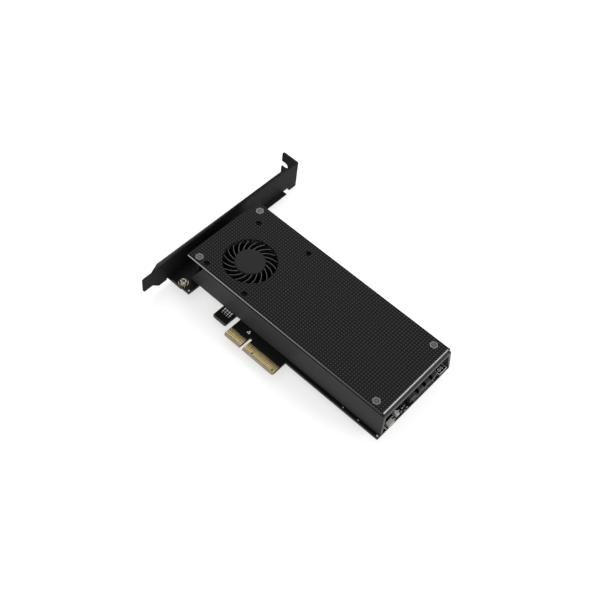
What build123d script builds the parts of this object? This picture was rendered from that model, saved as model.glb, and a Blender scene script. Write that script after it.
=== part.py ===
from build123d import *
import os
from math import cos, degrees, radians, sin

os.makedirs("parts", exist_ok=True)

# Solid-state drive adapter card: a low-profile circuit board with a four-lane edge connector,
# a full-height slot bracket, and a folded aluminium cooling cover with a radial fan in it.
# Frame: X runs from the bracket to the free end, Y from the contact fingers to the back edge,
# Z out of the component side. The origin is the centre of the key notch, at the finger tips,
# on the component face. Sizes are in millimetres.

# Circuit board
board_thickness = 1.57
board_right = 83.4
board_back = 68.9
board_front = 10.1
board_left = -56.2
finger_left = -12.15
finger_right = 22.15
key_width = 1.9
key_depth = 8.25
finger_bevel_length = 1.2
finger_bevel_depth = 0.44
ear_tab_front = 4.85
ear_tab_right = -43.0
guard_tab_left = -24.4
guard_tab_right = -15.35
guard_tab_front = 4.15
foot_overlap = 0.9
board_corner = 0.5
finger_corner = 0.9

# Contact pads of the edge connector
pad_pitch = 1.0
pad_width = 0.7
pad_thickness = 0.05
pad_first = 1.5
pads_before_key = 11
pads_after_key = 21
pad_front = 1.3
pad_back = 5.65
short_pad_step = 1.0

# Slot bracket, folded from steel sheet
sheet = 0.9
bracket_inner = -58.7
bracket_top = 107.55
bracket_length = 120.02
bracket_width = 18.42
shelf_offset = 3.17
shelf_depth = 11.43
shelf_slot_width = 4.42
shelf_slot_depth = 4.8
tongue_width = 10.19
tongue_length = 6.4
neck_height = 10.5
wing_height = 6.5
wing_slope = 2.0
bend_radius = 1.5
tip_corner = 1.2
ear_length = 11.8
ear_width = 9.4
relief_width = 1.0
relief_depth = 1.1
upper_ear_centre = 50.0
flange_width = 3.0
flange_start = 72.0
flange_end = 95.0
strip_width = 3.9
ear_corner = 3.0

# Bracket screws
bracket_screw_x = -49.9
bracket_screw_y = 7.6
screw_clearance = 0.1
thread_gap = 0.05
bracket_screw_radius = 1.5
bracket_head_radius = 2.35
bracket_head_height = 1.5
screw_pad_radius = 2.7

# Cooling cover, a channel of aluminium plate
cover_left = -53.0
cover_right = 82.5
cover_front = 12.3
cover_back = 65.6
cover_top = 18.3
wall_thickness = 1.5
plate_thickness = 3.5
cover_chamfer = 0.28
cover_end_chamfer = 0.85
cover_chamfer_inset = 0.8
cover_step_length = 1.0
cover_left_step_length = 1.6
cover_step_depth = 1.7
wall_slant = 0.8
wall_cut_foot = 3.5
wall_cut_top = 12.8
edge_groove = 0.25
edge_groove_height = 1.2
back_wall_lean = 3.2
back_wall_foot = 1.2

# Corner standoffs pressed into the cover's plate, and their screws from the solder side
standoff_from_left = 6.6
standoff_from_right = 8.4
standoff_from_front = 3.7
standoff_from_back = 4.25
standoff_flats = 4.0
standoff_turn = 16.0
standoff_head_depth = 1.2
standoff_proud = 0.1
standoff_radius = 1.9
standoff_bore_depth = 9.0
cover_screw_radius = 1.25
cover_head_radius = 2.4
cover_head_height = 1.5
cover_screw_reach = 6.0

# Radial fan
fan_x = -26.3
fan_y = 33.0
inlet_radius = 14.6
rotor_radius = 14.0
hub_radius = 8.3
hub_wall = 0.8
hub_drop = 0.2
hub_cap = 1.0
blade_count = 20
blade_phase = 0.7
blade_thickness = 0.45
blade_sweep = 26.0
blade_middle_share = 0.53
blade_drop = 0.7
hub_chamfer = 0.4
blade_floor = 3.8
disc_thickness = 0.6
disc_radius = 12.6
housing_height = 9.6
housing_floor = 1.0
housing_left = 17.6
housing_right = 20.5
housing_back = 28.3
housing_gap = 0.25
housing_corner = 2.5
scroll_radius = 15.3
scroll_step = 1.0
scroll_rise = 6.0
scroll_turn = 17.0
cutoff_height = 9.0
cutoff_width = 12.6
tube_radius = 3.0
tube_height = 7.0
shaft_radius = 0.75
shaft_gap = 0.04
bearing_radius = 2.0
glue_gap = 0.03
boss_radius = 1.8
boss_gap = 0.6
magnet_thickness = 0.9
magnet_height = 5.0
magnet_floor = 3.8
core_height = 3.2
core_floor = 3.6
core_ring = 0.9
pole_count = 4
pole_width = 1.6
pole_reach = 5.4
shoe_radius = 6.2
shoe_angle = 60.0
coil_width = 3.4
coil_reach = 5.0
coil_overhang = 0.7
fan_board_radius = 6.5
fan_board_thickness = 0.8
fan_screw_places = ((-14.5, 21.7), (18.0, 25.8), (12.6, -17.3), (-14.5, -17.3))
fan_screw_radius = 0.8
fan_head_radius = 1.5
fan_head_height = 1.0
fan_head_sink = 1.0
fan_screw_length = 7.0
thread_end_room = 1.4

# Drive bay: socket, finned heat sink, pad, standoff and screw
bay_centre = 47.6
bay_height = 5.0
socket_right = 82.2
socket_depth = 8.8
socket_width = 21.9
socket_height = 4.2
socket_slot_width = 20.2
socket_slot_height = 1.1
socket_slot_depth = 4.0
socket_slot_floor = 1.9
socket_relief_length = 2.0
socket_relief_width = 2.2
socket_relief_depth = 2.2
socket_relief_places = (-4.9, 0.8, 6.5)
socket_key_offset = 6.125
socket_key_width = 1.0
tail_pitch = 0.5
tail_width = 0.22
tail_length = 0.7
tail_thickness = 0.25
rear_tails = 34
front_tails = 33
shorter_drives = (42.0, 60.0)
longer_drive = 110.0
fitted_drive = 80.0
drive_hole_radius = 1.5
drive_standoff_radius = 2.2
drive_standoff_height = 2.5
drive_thread_radius = 1.0
drive_head_radius = 1.75
drive_head_height = 0.8
drive_screw_reach = 2.4
sink_left = 0.0
sink_right = 72.0
sink_width = 22.8
sink_base = 2.0
fin_count = 6
fin_thickness = 1.2
pad_inset = 1.0
drive_pad_thickness = 1.0

# Small parts on the component side
lead_hole_x = 80.9
lead_hole_y = 63.9
lead_hole_pitch = 2.0
lead_hole_radius = 0.45
lead_ring_radius = 0.85
led_size = (2.4, 4.4, 0.9)
led_place = (82.1, 21.2)
inductor_size = 2.4
inductor_height = 1.6
inductor_place = (81.0, 27.3)
regulator_size = (3.0, 3.0, 0.9)
regulator_place = (78.4, 33.6)
chip_length = 1.0
chip_width = 0.6
chip_height = 0.5
chip_end = 0.25
capacitor_places = (
    (80.9, 24.5),
    (82.4, 24.3),
    (81.0, 29.4),
    (82.3, 29.9),
    (81.4, 31.8),
    (-3.0, 20.0),
    (-3.0, 22.0),
)
resistor_places = ((81.8, 16.9), (83.0, 32.0), (81.2, 33.6), (82.8, 34.0), (-0.5, 20.0), (-0.5, 22.0))
coupling_count = 8
coupling_first = 3.0
coupling_pitch = 2.2
coupling_y = 16.2
fiducial_radius = 0.55
fiducial_inset = 1.1
fan_plug_x = -1.5
fan_plug_y = 27.5
fan_plug_size = (3.2, 5.8, 5.0)
fan_plug_wall = 0.7
fan_plug_floor = 1.2
fan_pin_pitch = 2.0
fan_pin_side = 0.5
fan_pin_height = 4.2
fan_pin_tail = 1.0

# Heights and places that follow from the sizes above
board_bottom = -board_thickness
ear_bottom = board_bottom - sheet
bracket_outer = bracket_inner - sheet
bracket_low = ear_bottom
bracket_high = bracket_low + bracket_width
shelf_high = bracket_high - shelf_offset
shelf_low = shelf_high - bracket_width
tongue_middle = (bracket_low + bracket_high) / 2
tongue_tip = bracket_top - bracket_length
shoulder_start = tongue_tip + tongue_length
shoulder_end = shoulder_start + (bracket_width - tongue_width) / 2
shelf_end = bracket_outer - shelf_depth
recess_front = cover_front + foot_overlap
plate_bottom = cover_top - plate_thickness
wall_foot = cover_back + back_wall_lean
cover_step_right = cover_right - cover_step_length
standoff_places = [
    (x, y)
    for x in (cover_left + standoff_from_left, cover_right - standoff_from_right)
    for y in (cover_front + standoff_from_front, cover_back - standoff_from_back)
]
bracket_screw_places = [(bracket_screw_x, bracket_screw_y), (bracket_screw_x, upper_ear_centre)]
housing_low = plate_bottom - housing_height
housing_deck = housing_low + housing_floor
hub_top = cover_top - hub_drop
hub_bore = hub_radius - hub_wall
socket_left = socket_right - socket_depth
drive_end = socket_left + socket_slot_depth - 0.1
drive_holes = [(drive_end - length, bay_centre) for length in (*shorter_drives, fitted_drive, longer_drive)]
fitted_hole = (drive_end - fitted_drive, bay_centre)
fan_screw_centres = [(fan_x + x, fan_y + y) for x, y in fan_screw_places]
lead_holes = [(lead_hole_x, lead_hole_y + side * lead_hole_pitch / 2) for side in (-1, 1)]
fan_pin_places = [(fan_plug_x, fan_plug_y + side * fan_pin_pitch / 2) for side in (-1, 1)]


def polar(radius, angle):
    """The point at a radius and an angle in degrees."""
    return (radius * cos(radians(angle)), radius * sin(radians(angle)))


def save(part, name):
    """Labels a finished piece and writes it as one STEP file."""
    part.label = name
    export_step(part, f"parts/{name}.step")


# Circuit board: glass-fibre laminate, routed to its outline, with a bevelled finger edge
with BuildPart() as circuit_board:
    with BuildSketch(Plane.XY.offset(board_bottom)):
        with BuildLine():
            Polyline(
                (finger_left, 0),
                (finger_right, 0),
                (finger_right, board_front),
                (board_right, board_front),
                (board_right, board_back),
                (board_left, board_back),
                (board_left, ear_tab_front),
                (ear_tab_right, ear_tab_front),
                (ear_tab_right, recess_front),
                (guard_tab_left, recess_front),
                (guard_tab_left, guard_tab_front),
                (guard_tab_right, guard_tab_front),
                (guard_tab_right, recess_front),
                (finger_left, recess_front),
                close=True,
            )
        make_face()
        corners = vertices().group_by(Axis.X)
        fillet(corners[0] + corners[-1], board_corner)
        tips = vertices().group_by(Axis.Y)
        fillet(tips[0] + tips[1], finger_corner)
        with Locations((0, (key_depth - key_width / 2) / 2)):
            Rectangle(key_width, key_depth - key_width / 2, mode=Mode.SUBTRACT)
        with Locations((0, key_depth - key_width / 2)):
            Circle(key_width / 2, mode=Mode.SUBTRACT)
        with Locations(*bracket_screw_places):
            Circle(bracket_screw_radius + screw_clearance, mode=Mode.SUBTRACT)
        with Locations(*standoff_places):
            Circle(cover_screw_radius + screw_clearance, mode=Mode.SUBTRACT)
        with Locations(*drive_holes):
            Circle(drive_hole_radius, mode=Mode.SUBTRACT)
        with Locations(*lead_holes):
            Circle(lead_hole_radius, mode=Mode.SUBTRACT)
        with Locations(*fan_pin_places):
            Circle(fan_pin_side, mode=Mode.SUBTRACT)
    extrude(amount=board_thickness)
    with BuildSketch(Plane.YZ.offset(finger_left)):
        with BuildLine():
            Polyline((0, 0), (finger_bevel_length, 0), (0, -finger_bevel_depth), close=True)
        make_face()
        with BuildLine():
            Polyline(
                (0, board_bottom),
                (finger_bevel_length, board_bottom),
                (0, board_bottom + finger_bevel_depth),
                close=True,
            )
        make_face()
    extrude(amount=finger_right - finger_left, mode=Mode.SUBTRACT)

save(circuit_board.part, "circuit_board")


# Edge contacts: gold-plated copper pads on both faces; the presence pads are shorter
before_key = [-(pad_first + pad_pitch * i) for i in range(pads_before_key)]
after_key = [pad_first + pad_pitch * i for i in range(pads_after_key)]
pad_columns = sorted(before_key) + after_key
component_short = (after_key[5], after_key[-2])
solder_short = (min(before_key),)


def contact_pads(base, short_columns):
    """One row of pads on a face of the board, from its base height upwards."""
    with BuildPart() as pads:
        with BuildSketch(Plane.XY.offset(base)):
            for column in pad_columns:
                start = pad_front + (short_pad_step if column in short_columns else 0)
                with Locations((column, (start + pad_back) / 2)):
                    Rectangle(pad_width, pad_back - start)
        extrude(amount=pad_thickness)
    return pads.part


save(contact_pads(0, component_short), "component_side_contacts")
save(contact_pads(board_bottom - pad_thickness, solder_short), "solder_side_contacts")


# Slot bracket: one folded steel sheet with a slotted shelf, a tongue, two ears and two narrow flanges
ear_centres = (ear_tab_front + ear_width / 2, upper_ear_centre)
relief_reach = (ear_width + relief_width) / 2
strip_start = ear_centres[0] + ear_width / 2
strip_end = ear_centres[1] - ear_width / 2
with BuildPart() as slot_bracket:
    with BuildSketch(Plane.YZ.offset(bracket_outer)):
        with BuildLine():
            Polyline(
                (tongue_tip, tongue_middle - tongue_width / 2),
                (shoulder_start, tongue_middle - tongue_width / 2),
                (shoulder_end, bracket_low),
                (bracket_top - wing_height - wing_slope, bracket_low),
                (bracket_top - wing_height, shelf_low),
                (bracket_top, shelf_low),
                (bracket_top, shelf_high),
                (bracket_top - neck_height, shelf_high),
                (bracket_top - neck_height, bracket_high),
                (shoulder_end, bracket_high),
                (shoulder_start, tongue_middle + tongue_width / 2),
                (tongue_tip, tongue_middle + tongue_width / 2),
                close=True,
            )
        make_face()
        fillet(vertices().group_by(Axis.X)[0], tip_corner)
        for place in (ear_centres[0] - relief_reach, ear_centres[1] + relief_reach):
            with Locations((place, bracket_low + relief_depth / 2)):
                Rectangle(relief_width, relief_depth, mode=Mode.SUBTRACT)
    extrude(amount=sheet)
    with BuildSketch(Plane.XZ.offset(-bracket_top)):
        with Locations(((shelf_end + bracket_inner) / 2, (shelf_low + shelf_high) / 2)):
            Rectangle(bracket_inner - shelf_end, bracket_width)
        fillet(vertices().group_by(Axis.X)[0], tip_corner)
        slot_straight = shelf_slot_depth - shelf_slot_width / 2
        with Locations((shelf_end + slot_straight / 2, (shelf_low + shelf_high) / 2)):
            Rectangle(slot_straight, shelf_slot_width, mode=Mode.SUBTRACT)
        with Locations((shelf_end + slot_straight, (shelf_low + shelf_high) / 2)):
            Circle(shelf_slot_width / 2, mode=Mode.SUBTRACT)
    extrude(amount=sheet)
    outer_bend = edges().filter_by(Axis.Z).group_by(Axis.Y)[-1].sort_by(Axis.X)[-1]
    fillet(outer_bend, bend_radius)
    for ear_centre in ear_centres:
        with BuildSketch(Plane.XY.offset(ear_bottom)):
            with Locations((bracket_outer + ear_length / 2 + sheet / 2, ear_centre)):
                Rectangle(ear_length + sheet, ear_width)
            fillet(vertices().group_by(Axis.X)[-1], ear_corner)
        extrude(amount=sheet)
    with BuildSketch(Plane.XY.offset(ear_bottom)):
        with Locations((bracket_outer + (flange_width + sheet) / 2, (flange_start + flange_end) / 2)):
            Rectangle(flange_width + sheet, flange_end - flange_start)
        with Locations((bracket_outer + strip_width / 2, (strip_start + strip_end) / 2)):
            Rectangle(strip_width, strip_end - strip_start)
    extrude(amount=sheet)
    with BuildSketch(Plane.XY.offset(ear_bottom)):
        with Locations(*bracket_screw_places):
            Circle(bracket_screw_radius + thread_gap)
    extrude(amount=sheet, mode=Mode.SUBTRACT)

save(slot_bracket.part, "slot_bracket")


def screw(head_radius, head_height, shank_radius, reach, recess):
    """A pan-head screw along -Z with its head's seat at Z = 0 and a cross recess."""
    with BuildPart() as body:
        with BuildSketch(Plane.XZ):
            with BuildLine():
                Polyline(
                    (0, head_height),
                    (head_radius * 0.72, head_height),
                    (head_radius, head_height * 0.45),
                    (head_radius, 0),
                    (shank_radius, 0),
                    (shank_radius, -reach),
                    (0, -reach),
                    close=True,
                )
            make_face()
        revolve(axis=Axis.Z)
        with BuildSketch(Plane.XY.offset(head_height)):
            Rectangle(recess, recess * 0.24)
            Rectangle(recess * 0.24, recess)
        extrude(amount=-head_height * 0.55, taper=14, mode=Mode.SUBTRACT)
    return body.part


# Bracket screws: nickel-plated cross-head screws through the board into the bracket's tapped ears
bracket_screw = screw(
    bracket_head_radius,
    bracket_head_height,
    bracket_screw_radius,
    pad_thickness + board_thickness + sheet + 0.6,
    bracket_head_radius * 1.1,
)
with BuildPart() as bracket_screws:
    with Locations(*[(x, y, pad_thickness) for x, y in bracket_screw_places]):
        add(bracket_screw)

save(bracket_screws.part, "bracket_screws")


# Screw pads: plated earth rings on the board under the bracket screws' heads
with BuildPart() as screw_pads:
    with BuildSketch():
        with Locations(*bracket_screw_places):
            Circle(screw_pad_radius)
            Circle(bracket_screw_radius + screw_clearance, mode=Mode.SUBTRACT)
    extrude(amount=pad_thickness)

save(screw_pads.part, "screw_pads")


# Cooling cover: a channel in black anodised aluminium, open at both ends, with cut bright edges.
# The back wall leans out to the board's edge, and both walls are cut aslant by the bracket.
with BuildPart() as cooling_cover:
    with BuildSketch(Plane.YZ.offset(cover_left)):
        with BuildLine():
            Polyline(
                (cover_front, 0),
                (cover_front + wall_thickness, 0),
                (cover_front + wall_thickness, plate_bottom),
                (cover_back - wall_thickness, plate_bottom),
                (wall_foot - back_wall_foot, 0),
                (wall_foot, 0),
                (cover_back, cover_top - cover_step_depth),
                (cover_back, cover_top),
                (cover_front, cover_top),
                close=True,
            )
        make_face()
    extrude(amount=cover_right + wall_slant - cover_left)
    with BuildSketch(Plane.XZ.offset(-cover_front)):
        with BuildLine():
            Polyline(
                (cover_right, cover_top),
                (cover_right, cover_top - cover_step_depth),
                (cover_right + wall_slant, 0),
                (cover_right + wall_slant, cover_top),
                close=True,
            )
        make_face()
    extrude(amount=cover_front - wall_foot, mode=Mode.SUBTRACT)
    with BuildSketch(Plane.XZ.offset(-cover_front)):
        with Locations((cover_right - cover_step_length / 2, cover_top - cover_step_depth / 2)):
            Rectangle(cover_step_length, cover_step_depth)
        with Locations((cover_left + cover_left_step_length / 2, cover_top - cover_step_depth / 2)):
            Rectangle(cover_left_step_length, cover_step_depth)
    extrude(amount=cover_front - cover_back, mode=Mode.SUBTRACT)
    for wall_face, depth in ((cover_front, -wall_thickness), (wall_foot, wall_thickness + back_wall_lean)):
        with BuildSketch(Plane.XZ.offset(-wall_face)):
            with BuildLine():
                Polyline(
                    (cover_left, 0),
                    (cover_left + wall_cut_foot, 0),
                    (cover_left + wall_cut_top, cover_top - cover_step_depth),
                    (cover_left, cover_top - cover_step_depth),
                    close=True,
                )
            make_face()
        extrude(amount=depth, mode=Mode.SUBTRACT)
    with BuildSketch(Plane.YZ.offset(cover_left)):
        groove_middle = cover_top - cover_step_depth + edge_groove_height / 2
        with Locations((cover_front, groove_middle), (cover_back, groove_middle)):
            Rectangle(2 * edge_groove, edge_groove_height)
    extrude(amount=cover_right - cover_left, mode=Mode.SUBTRACT)
    with BuildSketch(Plane.YZ.offset(cover_left)):
        for edge, inward in ((cover_front, 1), (cover_back, -1)):
            with BuildLine():
                Polyline(
                    (edge, cover_top),
                    (edge + inward * cover_chamfer, cover_top),
                    (edge, cover_top - cover_chamfer),
                    close=True,
                )
            make_face()
    extrude(amount=cover_step_right - cover_chamfer_inset - cover_left, mode=Mode.SUBTRACT)
    with BuildSketch(Plane.XZ.offset(-cover_front - cover_chamfer_inset)):
        with BuildLine():
            Polyline(
                (cover_step_right, cover_top),
                (cover_step_right - cover_end_chamfer, cover_top),
                (cover_step_right, cover_top - cover_end_chamfer),
                close=True,
            )
        make_face()
    extrude(amount=cover_front + 2 * cover_chamfer_inset - cover_back, mode=Mode.SUBTRACT)
    with BuildSketch(Plane.XY.offset(cover_top)):
        with Locations((fan_x, fan_y)):
            Circle(inlet_radius)
        with Locations(*standoff_places):
            Circle(standoff_radius + glue_gap)
        with Locations(*fan_screw_centres):
            Circle(fan_screw_radius + screw_clearance)
    extrude(amount=-plate_thickness, mode=Mode.SUBTRACT)
    with BuildSketch(Plane.XY.offset(cover_top)):
        with Locations(*standoff_places):
            RegularPolygon(standoff_flats / 2 + glue_gap, 6, major_radius=False, rotation=standoff_turn)
    extrude(amount=-standoff_head_depth, mode=Mode.SUBTRACT)
    with BuildSketch(Plane.XY.offset(cover_top)):
        with Locations(*fan_screw_centres):
            Circle(fan_head_radius + screw_clearance)
    extrude(amount=-fan_head_height - fan_head_sink, mode=Mode.SUBTRACT)

save(cooling_cover.part, "cooling_cover")


# Cover standoffs: steel studs pressed into the plate, their hexagonal heads flush with its top
with BuildPart() as cover_standoffs:
    with BuildSketch():
        with Locations(*standoff_places):
            Circle(standoff_radius)
    extrude(amount=cover_top - standoff_head_depth)
    with BuildSketch(Plane.XY.offset(cover_top - standoff_head_depth)):
        with Locations(*standoff_places):
            RegularPolygon(standoff_flats / 2, 6, major_radius=False, rotation=standoff_turn)
    extrude(amount=standoff_head_depth + standoff_proud)
    with BuildSketch():
        with Locations(*standoff_places):
            Circle(cover_screw_radius + thread_gap)
    extrude(amount=standoff_bore_depth, mode=Mode.SUBTRACT)

save(cover_standoffs.part, "cover_standoffs")


# Cover screws: black pan-head screws from the solder side into the corner standoffs
cover_screw = screw(
    cover_head_radius,
    cover_head_height,
    cover_screw_radius,
    board_thickness + cover_screw_reach,
    cover_head_radius * 1.1,
)
with BuildPart() as cover_screws:
    with Locations(*[(x, y, board_bottom) for x, y in standoff_places]):
        add(cover_screw.rotate(Axis.X, 180))

save(cover_screws.part, "cover_screws")


# Fan housing: a moulded black scroll under the plate, closed by it, that blows towards the free end
scroll_right = scroll_radius - scroll_step / 2
scroll_left = scroll_radius + scroll_step * 1.5
with BuildPart() as fan_housing:
    with BuildSketch(Plane.XY.offset(housing_low)):
        with BuildLine():
            Polyline(
                (fan_x - housing_left, cover_front + wall_thickness + housing_gap),
                (fan_x + housing_right, cover_front + wall_thickness + housing_gap),
                (fan_x + housing_right, fan_y + housing_back),
                (fan_x - housing_left, fan_y + housing_back),
                close=True,
            )
        make_face()
        fillet(vertices(), housing_corner)
    extrude(amount=housing_height)
    with BuildSketch(Plane(origin=(fan_x, fan_y, housing_deck))):
        with BuildLine():
            ThreePointArc(
                (cutoff_width, cutoff_height),
                polar(scroll_right + 0.35, cutoff_height * 2),
                (scroll_right, -scroll_step / 2),
            )
            CenterArc((-scroll_step / 2, -scroll_step / 2), scroll_radius, 0, -90)
            CenterArc((-scroll_step / 2, scroll_step / 2), scroll_radius + scroll_step, -90, -90)
            Line((-scroll_left, scroll_step / 2), (-scroll_left, scroll_step / 2 + scroll_rise))
            CenterArc((scroll_turn - scroll_left, scroll_step / 2 + scroll_rise), scroll_turn, 180, -90)
            Polyline(
                (scroll_turn - scroll_left, scroll_step / 2 + scroll_rise + scroll_turn),
                (housing_right, scroll_step / 2 + scroll_rise + scroll_turn),
                (housing_right, cutoff_height),
                (cutoff_width, cutoff_height),
            )
        make_face()
    extrude(amount=housing_height - housing_floor, mode=Mode.SUBTRACT)
    with BuildSketch(Plane(origin=(fan_x, fan_y, housing_deck))):
        Circle(tube_radius)
    extrude(amount=tube_height)
    with BuildSketch(Plane(origin=(fan_x, fan_y, housing_deck))):
        Circle(bearing_radius)
    extrude(amount=tube_height, mode=Mode.SUBTRACT)
    with BuildSketch(Plane.XY.offset(plate_bottom)):
        with Locations(*fan_screw_centres):
            Circle(fan_screw_radius + thread_gap)
    extrude(amount=-fan_screw_length, mode=Mode.SUBTRACT)

save(fan_housing.part, "fan_housing")


# Fan screws: small black countersunk screws through the plate into the housing's corners
fan_screw_reach = plate_thickness - fan_head_height + fan_screw_length - thread_end_room
with BuildPart() as fan_screw:
    with BuildSketch(Plane.XZ):
        with BuildLine():
            Polyline(
                (0, 0),
                (fan_head_radius, 0),
                (fan_screw_radius, -fan_head_height),
                (fan_screw_radius, -fan_head_height - fan_screw_reach),
                (0, -fan_head_height - fan_screw_reach),
                close=True,
            )
        make_face()
    revolve(axis=Axis.Z)
    with BuildSketch():
        RegularPolygon(fan_screw_radius * 0.8, 6)
    extrude(amount=-fan_head_height * 0.6, mode=Mode.SUBTRACT)
with BuildPart() as fan_screws:
    with Locations(*[(x, y, cover_top - fan_head_sink) for x, y in fan_screw_centres]):
        add(fan_screw.part)

save(fan_screws.part, "fan_screws")


# Fan rotor: one moulding with a closed hub, a thin carrier disc and swept blades round it
blade_root = hub_radius - hub_wall / 2
blade_middle = (hub_radius + rotor_radius) / 2
middle_turn = -blade_sweep * blade_middle_share
with BuildSketch() as blade_profile:
    with BuildLine():
        lead_root = polar(blade_root, 0)
        lead_middle = polar(blade_middle, middle_turn)
        lead_tip = polar(rotor_radius, -blade_sweep)
        trail_root = polar(blade_root, -degrees(blade_thickness / blade_root))
        trail_middle = polar(blade_middle, middle_turn - degrees(blade_thickness / blade_middle))
        trail_tip = polar(rotor_radius, -blade_sweep - degrees(blade_thickness / rotor_radius))
        ThreePointArc(lead_root, lead_middle, lead_tip)
        Line(lead_tip, trail_tip)
        ThreePointArc(trail_tip, trail_middle, trail_root)
        Line(trail_root, lead_root)
    make_face()
blade_base = housing_low + blade_floor
rotor_plane = Plane(origin=(fan_x, fan_y, 0))
with BuildPart() as fan_rotor:
    with BuildSketch(rotor_plane.offset(blade_base - disc_thickness)):
        Circle(hub_radius)
        Circle(hub_bore, mode=Mode.SUBTRACT)
    extrude(amount=hub_top - blade_base + disc_thickness)
    with BuildSketch(rotor_plane.offset(hub_top - hub_cap)):
        Circle(hub_radius)
    extrude(amount=hub_cap)
    hub_rim = edges().filter_by(GeomType.CIRCLE).group_by(Axis.Z)[-1]
    chamfer(hub_rim, hub_chamfer)
    with BuildSketch(rotor_plane.offset(blade_base - disc_thickness)):
        Circle(disc_radius)
        Circle(blade_root, mode=Mode.SUBTRACT)
    extrude(amount=disc_thickness)
    with BuildSketch(rotor_plane.offset(blade_base)):
        with PolarLocations(0, blade_count, start_angle=blade_phase):
            add(blade_profile.sketch)
    extrude(amount=hub_top - blade_drop - blade_base)
    with BuildSketch(rotor_plane.offset(housing_deck + tube_height + boss_gap)):
        Circle(boss_radius)
        Circle(shaft_radius + glue_gap, mode=Mode.SUBTRACT)
    extrude(amount=hub_top - hub_cap - housing_deck - tube_height - boss_gap)

save(fan_rotor.part, "fan_rotor")


# Rotor magnet: a ring of bonded ferrite glued inside the hub
with BuildPart() as rotor_magnet:
    with BuildSketch(rotor_plane.offset(housing_low + magnet_floor)):
        Circle(hub_bore - glue_gap)
        Circle(hub_bore - magnet_thickness, mode=Mode.SUBTRACT)
    extrude(amount=magnet_height)

save(rotor_magnet.part, "rotor_magnet")


# Rotor shaft: a ground steel pin moulded into the hub's boss
with BuildPart() as rotor_shaft:
    with BuildSketch(rotor_plane.offset(housing_deck + 0.3)):
        Circle(shaft_radius)
    extrude(amount=hub_top - hub_cap - housing_deck - 0.3)

save(rotor_shaft.part, "rotor_shaft")


# Fan bearing: a sintered bronze sleeve in the housing's tube
with BuildPart() as fan_bearing:
    with BuildSketch(rotor_plane.offset(housing_deck)):
        Circle(bearing_radius - glue_gap)
        Circle(shaft_radius + shaft_gap, mode=Mode.SUBTRACT)
    extrude(amount=tube_height)

save(fan_bearing.part, "fan_bearing")


# Stator core: a stack of steel laminations with four poles, pushed over the tube
core_base = housing_low + core_floor
shoe_gap = 2 * shoe_radius * sin(radians((360 / pole_count - shoe_angle) / 2))
with BuildPart() as stator_core:
    with BuildSketch(rotor_plane.offset(core_base)):
        Circle(shoe_radius)
        Circle(pole_reach, mode=Mode.SUBTRACT)
        with PolarLocations(0, pole_count, start_angle=180 / pole_count):
            with Locations((shoe_radius, 0)):
                Rectangle(shoe_radius, shoe_gap, mode=Mode.SUBTRACT)
        Circle(tube_radius + core_ring)
        with PolarLocations((tube_radius + pole_reach) / 2 + 0.2, pole_count):
            Rectangle(pole_reach - tube_radius + 0.4, pole_width)
        Circle(tube_radius + glue_gap, mode=Mode.SUBTRACT)
    extrude(amount=core_height)

save(stator_core.part, "stator_core")


# Stator coils: enamelled copper windings, one round each pole
coil_start = tube_radius + core_ring + 0.1
coil_end = coil_reach
with BuildPart() as stator_coils:
    with BuildSketch(rotor_plane.offset(core_base - coil_overhang)):
        with PolarLocations((coil_start + coil_end) / 2, pole_count):
            Rectangle(coil_end - coil_start, coil_width)
    extrude(amount=core_height + 2 * coil_overhang)
    with BuildSketch(rotor_plane.offset(core_base - glue_gap)):
        with PolarLocations((coil_start + coil_end) / 2, pole_count):
            Rectangle(coil_end - coil_start, pole_width + 2 * glue_gap)
    extrude(amount=core_height + 2 * glue_gap, mode=Mode.SUBTRACT)

save(stator_coils.part, "stator_coils")


# Fan circuit board: the drive electronics' ring on the housing's floor
with BuildPart() as fan_circuit_board:
    with BuildSketch(rotor_plane.offset(housing_deck)):
        Circle(fan_board_radius)
        Circle(tube_radius + screw_clearance, mode=Mode.SUBTRACT)
    extrude(amount=fan_board_thickness)

save(fan_circuit_board.part, "fan_circuit_board")


# Drive socket: a moulded housing with a keyed slot towards the bracket
with BuildPart() as drive_socket:
    with BuildSketch():
        with Locations(((socket_left + socket_right) / 2, bay_centre)):
            Rectangle(socket_depth, socket_width)
        fillet(vertices(), 0.4)
    extrude(amount=socket_height)
    with BuildSketch(Plane.YZ.offset(socket_left)):
        with Locations((bay_centre, socket_slot_floor + socket_slot_height / 2)):
            Rectangle(socket_slot_width, socket_slot_height)
        with Locations((bay_centre + socket_key_offset, socket_slot_floor + socket_slot_height / 2)):
            Rectangle(socket_key_width, socket_slot_height, mode=Mode.SUBTRACT)
    extrude(amount=socket_slot_depth, mode=Mode.SUBTRACT)
    with BuildSketch(Plane.XY.offset(socket_height)):
        with Locations((socket_right, bay_centre)):
            with Locations(*[(0, place) for place in socket_relief_places]):
                Rectangle(2 * socket_relief_length, socket_relief_width)
    extrude(amount=-socket_relief_depth, mode=Mode.SUBTRACT)

save(drive_socket.part, "drive_socket")


# Socket contacts: the solder tails of its two rows, tinned copper alloy
with BuildPart() as socket_contacts:
    with BuildSketch():
        with Locations((socket_right + tail_length / 2, bay_centre)):
            with GridLocations(0, tail_pitch, 1, rear_tails):
                Rectangle(tail_length, tail_width)
        with Locations((socket_left - tail_length / 2, bay_centre)):
            with GridLocations(0, tail_pitch, 1, front_tails):
                Rectangle(tail_length, tail_width)
    extrude(amount=tail_thickness)

save(socket_contacts.part, "socket_contacts")


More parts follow.
